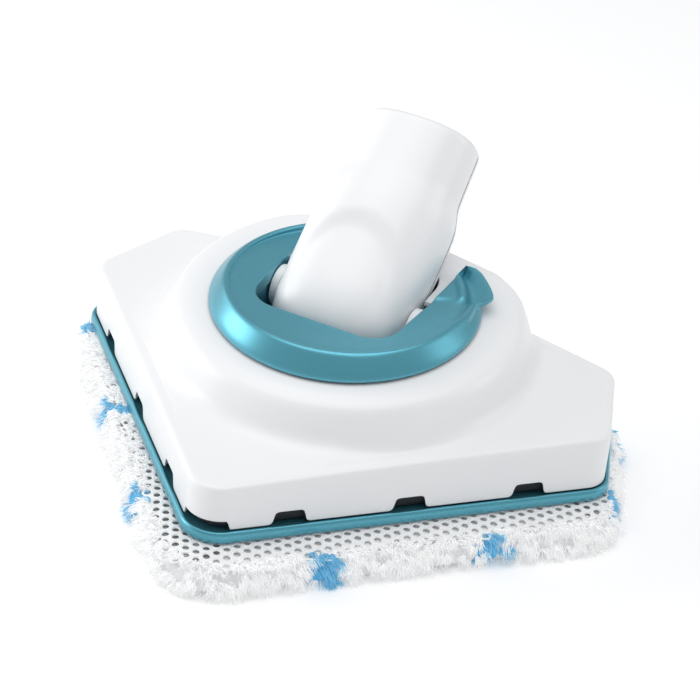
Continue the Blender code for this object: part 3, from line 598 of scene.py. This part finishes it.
def scooped(rows):
    """Presses the thumb scoop into the front shell."""
    x, y, z = rows[..., 0], rows[..., 1], rows[..., 2]
    inside = 1 - np.hypot(x / SCOOP_HALF, (z - SCOOP_BASE) / SCOOP_TALL)
    edge = smooth_step(0, 0.3, inside) * smooth_step(-30 * MM, 34 * MM, z)
    rows[..., 1] = y + SCOOP_DEPTH * edge * (y < 0)
    return rows


def neck_shell(name, start, side, replaced):
    """One of the neck's shells, whose edges roll in a little at the seam behind the middle."""
    angles = start + side * SEAM_TURN + np.linspace(0, pi - 2 * side * SEAM_TURN, 121)
    rows = oval_rows(neck_levels(), angles)
    rows[..., 1] += side * SEAM_GAP / 2
    if side < 0:
        rows = scooped(rows)
    first, last = rows[:, :1].copy(), rows[:, -1:].copy()
    for end in (first, last):
        end[..., 0] *= 1 - 0.35 * MM / np.maximum(np.abs(end[..., 0]), MM)
        end[..., 1] -= side * 0.1 * MM
    rows = np.concatenate((first, rows, last), axis=1)
    shell = piece(name, grid(name, rows, wrap=False), WHITE, "neck", replaced, NECK)
    wall = shell.modifiers.new("wall", "SOLIDIFY")
    wall.thickness = NECK_WALL
    wall.offset = -1


def seam_shade_strips():
    """Black strips of painted shade behind the seam, that show as a thin dark line between the neck's shells."""
    for name, middle in (("right", SEAM_TURN), ("left", pi - SEAM_TURN)):
        rows = oval_rows(neck_levels()[:-5], middle + np.linspace(-0.05, 0.05, 7), 0.45 * MM)
        data = grid(f"neck_seam_shade_{name}", rows, wrap=False)
        # The black here is painted shade, standing in for the shadow in the seam's gap.
        strip = piece(f"neck_seam_shade_{name}", data, BLACK, "neck", place=NECK)
        wall = strip.modifiers.new("wall", "SOLIDIFY")
        wall.thickness = 1.2 * MM
        wall.offset = -1


def socket_liner():
    """The cup that the mop's body plugs into. Its bulkhead has a hole for the steam nipple."""
    angles = np.linspace(0, 2 * pi, 96, endpoint=False)

    def at(height, less):
        share = (height - 62) / (99.5 - 62)
        level = (height, 30.9 - 1.7 * share, 25.6 - 2 * share, 23.4 - 2.1 * share, 2.5)
        return oval_rows([np.array(level) * (MM, MM, MM, MM, 1)], angles, less)[0]

    outside, inside = NECK_WALL + 1.2 * MM, NECK_WALL + 2.8 * MM
    hole = np.column_stack((4.3 * MM * np.cos(angles), 4.3 * MM * np.sin(angles)))
    rows = [raised(hole, 64 * MM), at(64, outside), at(96.3, outside), at(97.5, outside + 0.5 * MM),
            at(97.5, inside - 0.3 * MM), at(96.9, inside), at(68, inside), at(67, inside + 1.5 * MM),
            raised(hole, 67 * MM)]
    data = grid("socket_cup", rows, loop=True)
    piece("socket_cup", data, GREY, "neck", ["socket_liner"], NECK)


def trunnions():
    """White discs at the neck's sides, on hollow shafts."""
    profile = spline(((1.8, 12.2), (3.4, 12.2), (5.0, 12.2), (5.0, 11.4), (5.0, 5.1), (5.2, 5.0), (9.9, 5.0),
                      (11.0, 5.0), (11.0, 4.0), (11.0, 1.2), (10.8, 0.7), (6.6, 0.7), (6.4, 0.5), (6.4, -5.9),
                      (6.3, -6), (1.9, -6), (1.8, -5.9)), steps=4, loop=True) * MM
    for name, side in (("left", -1), ("right", 1)):
        turn = Matrix.Rotation(side * pi / 2, 4, "Y")
        place = NECK @ Matrix.Translation((side * NECK_HALF * MM, 0, 0)) @ turn
        data = lathe(f"trunnion_disc_{name}", profile)
        piece(f"trunnion_disc_{name}", data, WHITE, "neck", [f"trunnion_{name}"], place)


def nipple():
    """The neck's steam tube, whose top end is the nipple in the socket, and the ring seal on it."""
    route = ((0, 0, 80), (0, 0, 60), (0, 0, 36), (-2, 0, 18), (-9, 0, 5), (-18, 0, 0.6), (-27.5, 0, 0))
    line = spline(np.array(route), steps=8) * MM
    ahead = np.gradient(line, axis=0)
    ahead /= np.linalg.norm(ahead, axis=1, keepdims=True)
    across = np.cross(ahead, (0, 1, 0))
    angles = np.linspace(0, 2 * pi, 24, endpoint=False)
    cosine, sine = np.cos(angles)[None, :, None], np.sin(angles)[None, :, None]
    rings = []
    for radius in (4 * MM, 2.8 * MM):
        spokes = radius * (cosine * across[:, None] + sine * (0, 1, 0))
        rings.append(line[:, None] + spokes)
    rows = np.concatenate((rings[0], rings[1][::-1]))
    data = grid("steam_tube", rows, loop=True)
    piece("steam_tube", data, STEEL, "neck", ["neck_steam_tube"], NECK)
    turn = np.linspace(0, 2 * pi, 20, endpoint=False)
    profile = np.column_stack((5.3 + 0.9 * np.cos(turn), 76 + 0.9 * np.sin(turn))) * MM
    data = lathe("nipple_ring_seal", profile, 48)
    piece("nipple_ring_seal", data, SILICONE, "neck", ["nipple_seal"], NECK)


neck_shell("neck_front_moulding", pi, -1, ["neck_front_shell"])
neck_shell("neck_rear_moulding", 0, 1, ["neck_rear_shell"])
seam_shade_strips()
socket_liner()
trunnions()
nipple()

# ---------------------------------------------------------------- pad
NET_PITCH, HOLE_R, NET_SIDES = 5.5 * MM, 1.75 * MM, 12
STRIPE_SLANT = 0.045


def pad_plan(inset):
    return plan(inset, PAD_REACH, PAD_ROUNDS)


def askew(points):
    """The pad lies a little askew: further out at the right, and further in at the far left."""
    left = smooth_step(20 * MM, 150 * MM, -points[..., 0])
    points[..., 0] += 2.4 * MM + 5.0 * MM * left
    points[..., 1] += -1.2 * MM + 5.0 * MM * left
    return points


def beyond(points, reach=(0, 0, 0)):
    """How far points lie outside the trim's outline, or outside one whose edges are moved out by reach."""
    room = []
    for (angle, distance), more in zip(HEAD_EDGES, reach):
        for side in (1, -1):
            across, along = points[..., 0] * side * cos(radians(angle)), points[..., 1] * sin(radians(angle))
            room.append(distance + more - (across + along))
    return -np.min(room, axis=0)


def pad_top(points):
    """Height of the pad's mesh top, which sinks a little past the trim."""
    return MESH_TOP - 0.5 * MM - 2.2 * MM * smooth_step(2 * MM, 15 * MM, beyond(points))


def pad_ground():
    """The pile's ground: a lumpy skirt that bulges towards its foot, under a flat top."""
    section = ((60, 0.3), (20, 0.2), (9, 0.2), (6.2, 0.6), (4.6, 2.4), (3.4, 5.0), (3.6, 8.0), (5.0, 10.6),
               (7.4, 12.4), (10.5, 13.2), (16, 13.4), (60, 13.4))
    rows = spline([raised(pad_plan(inset * MM), z * MM) for inset, z in section], steps=4)
    centre = rows[:, :, :2].mean(axis=1, keepdims=True)
    outward = rows[:, :, :2] - centre
    outward /= np.linalg.norm(outward, axis=2, keepdims=True)
    shares = smooth_step(0.3 * MM, 3 * MM, rows[:, :, 2])
    for place, out, share in zip(rows.reshape(-1, 3), outward.reshape(-1, 2), shares.reshape(-1)):
        point = Vector(place)
        lump = (1.5 * noise.noise(point * 45) + 0.9 * noise.noise(point * 150)
                + 0.35 * noise.noise(point * 420))
        place[:2] += out * (lump * share * MM)
    askew(rows)
    data = grid("pile_ground", rows, caps=True, sharp=180)
    ground = piece("pile_ground", data, GROUND, "pad", ["pad_pile"])
    return rows


def strand_mesh(name, roots, ways, lengths, radii, droop):
    """Fine tapering fibres, three-sided, that bend down as they go out."""
    count, levels = len(roots), 5
    share = np.linspace(0, 1, levels)[None, :, None]
    side = RANDOM.normal(size=(count, 1, 3)) * 0.12
    curl = np.sin(share * pi * RANDOM.uniform(0.7, 1.6, (count, 1, 1))) * side
    fall = np.array((0, 0, -1)) * droop[:, None, None] * share ** 2
    line = roots[:, None] + lengths[:, None, None] * (ways[:, None] * share + curl + fall)
    line[..., 2] = np.maximum(line[..., 2], 0.35 * MM)
    across = np.cross(ways, RANDOM.normal(size=(count, 3)))
    across /= np.linalg.norm(across, axis=1, keepdims=True)
    other = np.cross(ways, across)
    width = radii[:, None, None] * (1 - 0.72 * share ** 1.5)
    corners = [line + width * (cos(angle) * across[:, None] + sin(angle) * other[:, None])
               for angle in (0, 2 * pi / 3, 4 * pi / 3)]
    points = np.stack(corners, 2).reshape(-1, 3)
    pattern = []
    for k in range(levels - 1):
        for i in range(3):
            j = (i + 1) % 3
            pattern.append((3 * k + i, 3 * k + j, 3 * k + 3 + j, 3 * k + 3 + i))
    starts = np.arange(count)[:, None, None] * 3 * levels
    sides = (starts + np.array(pattern)).reshape(-1, 4).tolist()
    top = 3 * (levels - 1)
    ends = (starts + np.array(((2, 1, 0), (top, top + 1, top + 2)))).reshape(-1, 3).tolist()
    data = bpy.data.meshes.new(name)
    data.from_pydata(points.tolist(), [], sides + ends)
    data.shade_smooth()
    return data


def bunch_roots(skirt, spacing):
    """Random roots on the skirt: places, the ways along and out of it there, and shares of its height."""
    around = np.linalg.norm(np.diff(skirt[0], axis=0, append=skirt[0][:1]), axis=1)
    travel = np.concatenate(((0,), np.cumsum(around)))
    bunches = int(travel[-1] / spacing)
    where = RANDOM.uniform(0, travel[-1], bunches)
    column = np.minimum(np.searchsorted(travel, where, side="right") - 1, skirt.shape[1] - 1)
    rise = RANDOM.uniform(0, 1, bunches) ** 0.8
    level = rise * (len(skirt) - 1)
    low = level.astype(int)
    high = np.minimum(low + 1, len(skirt) - 1)
    part = (level - low)[:, None]
    root = skirt[low, column] * (1 - part) + skirt[high, column] * part
    ahead = skirt[low, (column + 1) % skirt.shape[1]] - skirt[low, column - 1]
    ahead /= np.linalg.norm(ahead, axis=1, keepdims=True)
    return root, ahead, np.cross(ahead, (0, 0, 1)), rise


def tufts(skirt, spacing, strands, lengths, lift, sink):
    """Bunches of fibres that lean together, rooted on the skirt.

    Gives each fibre's root, way, length, radius and droop, and its bunch's own root.
    """
    root, ahead, out, rise = bunch_roots(skirt, spacing)
    bunches = len(root)
    lean = lift[0] + (lift[1] - lift[0]) * rise
    way = out + lean[:, None] * np.array((0, 0, 1)) + ahead * RANDOM.normal(0, 0.4, (bunches, 1))
    way += RANDOM.normal(0, 0.12, (bunches, 3))

    def spread(values):
        return np.repeat(values, strands, axis=0)

    count = bunches * strands
    roots = spread(root) + spread(ahead) * RANDOM.normal(0, 1.1 * MM, (count, 1)) - spread(out) * sink
    roots[:, 2] += RANDOM.normal(0, 0.6 * MM, count)
    ways = spread(way) + RANDOM.normal(0, 0.22, (count, 3))
    ways /= np.linalg.norm(ways, axis=1, keepdims=True)
    reach = spread(RANDOM.uniform(*lengths, bunches)) * RANDOM.uniform(0.7, 1.1, count) * MM
    radii = RANDOM.uniform(0.26, 0.42, count) * MM
    return roots, ways, reach, radii, spread(RANDOM.uniform(0.25, 0.8, bunches)), spread(root)


def fringe_rows(insets):
    """Rings on the mesh top at these insets from the pad's edge, from the inner one out."""
    rings = [askew(pad_plan(inset * MM)) for inset in insets]
    return np.stack([np.column_stack((ring, pad_top(ring) - 0.3 * MM)) for ring in rings])[::-1]


def pile(rows):
    """Shaggy tufts round the pad's edge, and a fringe over the outer part of the mesh top."""
    skirt = rows[(rows[:, 0, 2] > 1.2 * MM) & (rows[:, 0, 2] < 13.3 * MM)]
    groups = [tufts(skirt[:-2], 1.0 * MM, 18, (4.6, 7.6), (-0.25, 0.45), 0.8 * MM),
              tufts(fringe_rows((5.5, 8, 11)), 1.5 * MM, 14, (3.4, 5.4), (1.1, 0.5), 0)]
    # Towards the left corner the fringe runs in over the net.
    thin = tufts(fringe_rows((11, 15, 19)), 0.9 * MM, 12, (3.4, 5.0), (1.0, 0.5), 0)
    kept = thin[-1][:, 0] < -40 * MM - 60 * MM * RANDOM.uniform(0, 1, len(thin[0])) ** 2
    groups.append([part[kept] for part in thin])
    roots, ways, lengths, radii, droop, homes = (np.concatenate(parts) for parts in zip(*groups))
    along = homes[:, 1] - STRIPE_SLANT * homes[:, 0] - STRIPE_FIRST
    offset = np.abs((along + STRIPE_PITCH / 2) % STRIPE_PITCH - STRIPE_PITCH / 2)
    blue = offset < STRIPE_HALF
    for name, chosen, look, slot in (("pile_tufts", ~blue, PILE, "pad_pile"),
                                     ("stripe_tufts", blue, BLUE, "pad_stripe")):
        data = strand_mesh(name, roots[chosen], ways[chosen], lengths[chosen], radii[chosen], droop[chosen])
        piece(name, data, look, "pad")


def hole_centres(low, high):
    """Staggered points over the mesh top, kept clear of its edge."""
    row_step = NET_PITCH * sin(pi / 3)
    centres = []
    for j in range(int((high.y - low.y) / row_step) + 2):
        for i in range(int((high.x - low.x) / NET_PITCH) + 2):
            centres.append((low.x + (i + 0.5 * (j % 2)) * NET_PITCH, low.y + j * row_step))
    centres = np.array(centres)
    return centres[beyond(centres, PAD_REACH) < -6.5 * MM]


def net_mesh(centres):
    """A raised ring round each hole. The rings' outer edges are hexagons that meet."""
    angles = np.linspace(0, 2 * pi, NET_SIDES, endpoint=False) + pi / 6
    corner = NET_PITCH / 2 / cos(pi / 6)
    hexagon = np.where(np.arange(NET_SIDES) % 2 == 0, corner, NET_PITCH / 2)
    section = ((hexagon, 0.0), ((hexagon + HOLE_R) / 2 + 0.15 * MM, 0.42 * MM),
               (HOLE_R + 0.12 * MM, 0.25 * MM), (HOLE_R, -0.55 * MM))
    rings = []
    for reach, rise in section:
        offset = np.stack((np.cos(angles) * reach, np.sin(angles) * reach), 1)
        flat = centres[:, None] + offset[None]
        rings.append(np.concatenate((askew(flat), (pad_top(flat) + rise)[..., None]), -1))
    points = np.stack(rings, 1)
    index = np.arange(points.size // 3).reshape(len(centres), len(section), NET_SIDES)
    after = np.roll(index, -1, axis=2)
    quads = np.stack((index[:, :-1], after[:, :-1], after[:, 1:], index[:, 1:]), -1).reshape(-1, 4)
    return mesh_of("spacer_net", points.reshape(-1, 3), quads.tolist(), 180)


def spacer_net():
    """The knitted top: a net with round holes, over a grey sheet painted dark as the shade seen down the holes."""
    low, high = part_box("pad_mesh")
    net = piece("spacer_net", net_mesh(hole_centres(low, high)), NET, "pad")
    rows = []
    for inset, drop in ((70, 0.9), (9, 0.9), (8.4, 1.1), (9, 1.3), (70, 1.3)):
        ring = askew(pad_plan(inset * MM))
        rows.append(np.column_stack((ring, pad_top(ring) - drop * MM)))
    data = grid("mesh_hole_shade", rows, caps=True)
    shade_sheet = piece("mesh_hole_shade", data, HOLE_SHADE, "pad", ["pad_mesh"])


pile(pad_ground())
spacer_net()


# ---------------------------------------------------------------- floor, light and camera
def look_at(obj, place, target):
    obj.location = place
    obj.rotation_euler = (Vector(target) - Vector(place)).to_track_quat("-Z", "Y").to_euler()
    bpy.context.scene.collection.objects.link(obj)


def softbox(name, place, size, power, target=(0, 0, 0.05)):
    data = bpy.data.lights.new(name, "AREA")
    data.shape = "RECTANGLE"
    data.size, data.size_y = size
    data.energy = power
    look_at(bpy.data.objects.new(name, data), place, target)


def floor():
    data = bpy.data.meshes.new("floor")
    data.from_pydata([(-6, -6, 0), (6, -6, 0), (6, 6, 0), (-6, 6, 0)], [], [(0, 1, 2, 3)])
    ground = bpy.data.objects.new("floor", data)
    bpy.context.scene.collection.objects.link(ground)
    made = bpy.data.materials.new("floor")
    made.use_nodes = True
    shader = made.node_tree.nodes["Principled BSDF"]
    shader.inputs["Base Color"].default_value = (0.93, 0.93, 0.93, 1)
    shader.inputs["Roughness"].default_value = 1.0
    shader.inputs["Specular IOR Level"].default_value = 0.0
    shader.inputs["Emission Color"].default_value = (1, 1, 1, 1)
    shader.inputs["Emission Strength"].default_value = 0.12
    data.materials.append(made)


def studio():
    """Soft lights, and a world that fills the shadows and is plain white behind the object."""
    softbox("left_softbox", (-1.5, -0.1, 0.75), (1.3, 1.0), 4.8)
    softbox("low_left_softbox", (-1.25, -0.45, 0.42), (0.7, 0.45), 4)
    softbox("right_softbox", (1.5, 0.8, 0.8), (0.8, 0.9), 3)
    softbox("top_softbox", (0.0, -0.1, 1.7), (1.7, 1.4), 13.2)

    world = bpy.data.worlds.new("studio")
    bpy.context.scene.world = world
    world.use_nodes = True
    nodes, links = world.node_tree.nodes, world.node_tree.links
    fill, seen = nodes["Background"], nodes.new("ShaderNodeBackground")
    fill.inputs["Color"].default_value = (0.97, 0.98, 1, 1)
    fill.inputs["Strength"].default_value = 0.51
    seen.inputs["Strength"].default_value = 1.0
    rays, mix = nodes.new("ShaderNodeLightPath"), nodes.new("ShaderNodeMixShader")
    links.new(rays.outputs["Is Camera Ray"], mix.inputs[0])
    links.new(fill.outputs[0], mix.inputs[1])
    links.new(seen.outputs[0], mix.inputs[2])
    links.new(mix.outputs[0], nodes["World Output"].inputs["Surface"])
    bpy.context.scene.view_settings.view_transform = "Standard"


def camera():
    data = bpy.data.cameras.new("camera")
    data.lens, data.sensor_width = 120.5, 36
    made = bpy.data.objects.new("camera", data)
    bpy.context.scene.collection.objects.link(made)
    azimuth, elevation, roll = radians(23.71), radians(31.36), radians(6.13)
    place = Vector((0.4101, -0.9218, 0.6656))
    back = Vector((sin(azimuth) * cos(elevation), -cos(azimuth) * cos(elevation), sin(elevation)))
    turn = back.to_track_quat("Z", "Y").to_matrix().to_4x4()
    made.matrix_world = Matrix.Translation(place) @ turn @ Matrix.Rotation(roll, 4, "Z")
    bpy.context.scene.camera = made


floor()
studio()
camera()
